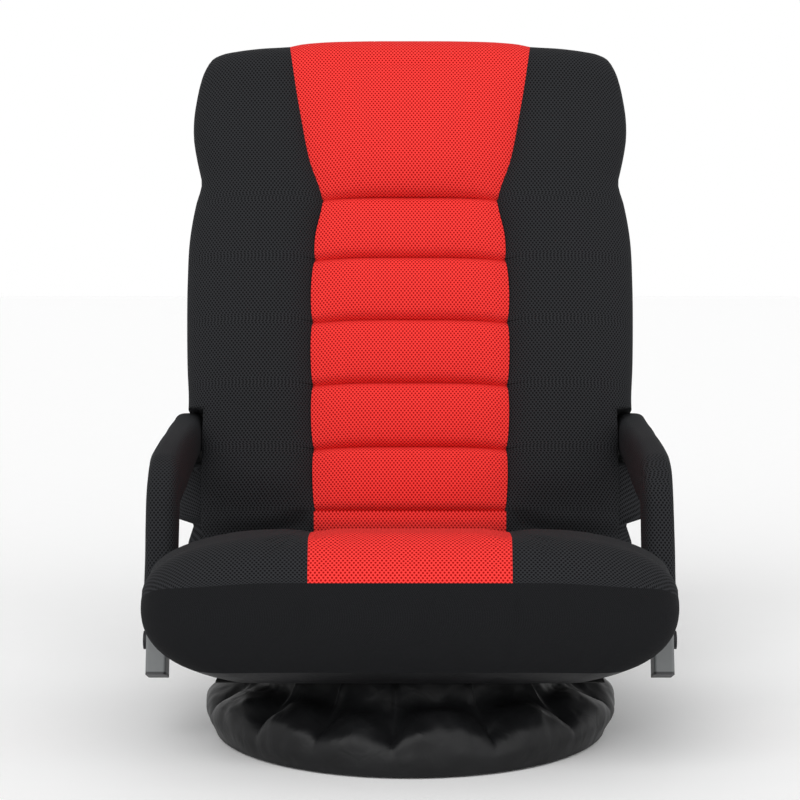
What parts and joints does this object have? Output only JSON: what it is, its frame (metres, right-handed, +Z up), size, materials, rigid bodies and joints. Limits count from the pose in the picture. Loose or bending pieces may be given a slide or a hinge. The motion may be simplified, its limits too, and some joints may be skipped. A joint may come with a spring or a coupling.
{
  "type": "swivel floor chair",
  "caption": "Low floor chair with a round skirted swivel base, a reclining channelled back with head pillow, and padded arms that follow the back.",
  "frame": {"origin": "on the floor, on the swivel axis", "axes": "+Z up, -Y the way the sitter faces, +X the sitter's left"},
  "size_m": [0.582, 0.7277, 0.7775],
  "materials": {
    "foot_rubber": "matte",
    "base_steel": "satin black",
    "skirt_fabric": "satin nylon",
    "swivel_steel": "zinc",
    "frame_steel": "satin black",
    "webbing": "woven",
    "dust_cloth": "non-woven",
    "foam": "open-cell foam",
    "red_mesh": "air mesh",
    "black_mesh": "air mesh",
    "black_boxing": "close-knit mesh",
    "hinge_steel": "zinc",
    "grey_tube": "powder coat",
    "plug_plastic": "matte"
  },
  "bodies": {
    "base": {"base_foot_ring": "foot_rubber", "base_ring": "base_steel", "base_cross_tube": "base_steel", "base_side_tubes": "base_steel", "base_cover": "skirt_fabric", "swivel_lower_plate": "swivel_steel", "swivel_lower_screws": "swivel_steel", "swivel_balls": "swivel_steel", "swivel_rivet": "swivel_steel"},
    "seat": {"swivel_upper_plate": "swivel_steel", "swivel_upper_screws": "swivel_steel", "seat_bearer_left": "frame_steel", "seat_bearer_right": "frame_steel", "seat_frame": "frame_steel", "seat_cross_bars": "frame_steel", "seat_webbing": "webbing", "seat_dust_cover": "dust_cloth", "seat_foam": "foam", "seat_centre_panel": "red_mesh", "seat_side_panel_left": "black_mesh", "seat_side_panel_right": "black_mesh", "seat_boxing": "black_boxing", "hinge_cheeks_left": "frame_steel", "hinge_cheeks_right": "frame_steel", "hinge_pins": "hinge_steel", "hinge_spacers": "hinge_steel", "pawl_pins": "hinge_steel", "pawl_springs": "hinge_steel", "arm_bracket_left": "frame_steel", "arm_bracket_right": "frame_steel", "strut_bolts": "hinge_steel"},
    "back": {"back_frame": "frame_steel", "back_cross_tubes": "frame_steel", "back_webbing": "webbing", "back_foam": "foam", "back_boxing": "black_boxing", "back_rear_cover": "black_boxing", "back_headrest_pad": "red_mesh", "back_centre_panel": "red_mesh", "back_bolster_left": "black_mesh", "back_bolster_right": "black_mesh", "ratchet_wheel_left": "hinge_steel", "ratchet_wheel_right": "hinge_steel", "arm_studs": "hinge_steel", "arm_nuts": "hinge_steel"},
    "strut_left": {"strut_tube_left": "grey_tube", "strut_plug_left": "plug_plastic", "strut_pad_left": "black_mesh", "elbow_pin_left": "hinge_steel"},
    "arm_left": {"arm_tube_left": "grey_tube", "arm_pad_left": "black_mesh"},
    "pawl_left": {"pawl_left": "hinge_steel"},
    "strut_right": {"strut_tube_right": "grey_tube", "strut_plug_right": "plug_plastic", "strut_pad_right": "black_mesh", "elbow_pin_right": "hinge_steel"},
    "arm_right": {"arm_tube_right": "grey_tube", "arm_pad_right": "black_mesh"},
    "pawl_right": {"pawl_right": "hinge_steel"}
  },
  "joints": [
    {"name": "swivel", "type": "hinge", "parent": "base", "child": "seat", "pos_m": [0, 0, 0], "axis": [0, 0, 1], "continuous": true},
    {"name": "recline", "type": "hinge", "parent": "seat", "child": "back", "pos_m": [0, 0.235, 0.135], "axis": [-1, 0, 0], "range_deg": [-18, 72]},
    {"name": "strut_left_pivot", "type": "hinge", "parent": "seat", "child": "strut_left", "pos_m": [0.272, -0.057, 0.108], "axis": [-1, 0, 0], "range_deg": [-18, 72]},
    {"name": "elbow_left_pivot", "type": "hinge", "parent": "strut_left", "child": "arm_left", "pos_m": [0.272, -0.00509, 0.26778], "axis": [-1, 0, 0], "range_deg": [-72, 18]},
    {"name": "pawl_left_catch", "type": "hinge", "parent": "seat", "child": "pawl_left", "pos_m": [0.185, 0.1959, 0.109], "axis": [-1, 0, 0], "range_deg": [0, 8], "stiffness_Nm_per_rad": 0.02, "springref_deg": 8},
    {"name": "strut_right_pivot", "type": "hinge", "parent": "seat", "child": "strut_right", "pos_m": [-0.272, -0.057, 0.108], "axis": [-1, 0, 0], "range_deg": [-18, 72]},
    {"name": "elbow_right_pivot", "type": "hinge", "parent": "strut_right", "child": "arm_right", "pos_m": [-0.272, -0.00509, 0.26778], "axis": [-1, 0, 0], "range_deg": [-72, 18]},
    {"name": "pawl_right_catch", "type": "hinge", "parent": "seat", "child": "pawl_right", "pos_m": [-0.185, 0.1959, 0.109], "axis": [-1, 0, 0], "range_deg": [0, 8], "stiffness_Nm_per_rad": 0.02, "springref_deg": 8}
  ],
  "couplings": [
    {"joint": "strut_left_pivot", "follows": "recline", "ratio": 1},
    {"joint": "elbow_left_pivot", "follows": "recline", "ratio": -1},
    {"joint": "strut_right_pivot", "follows": "recline", "ratio": 1},
    {"joint": "elbow_right_pivot", "follows": "recline", "ratio": -1}
  ]
}
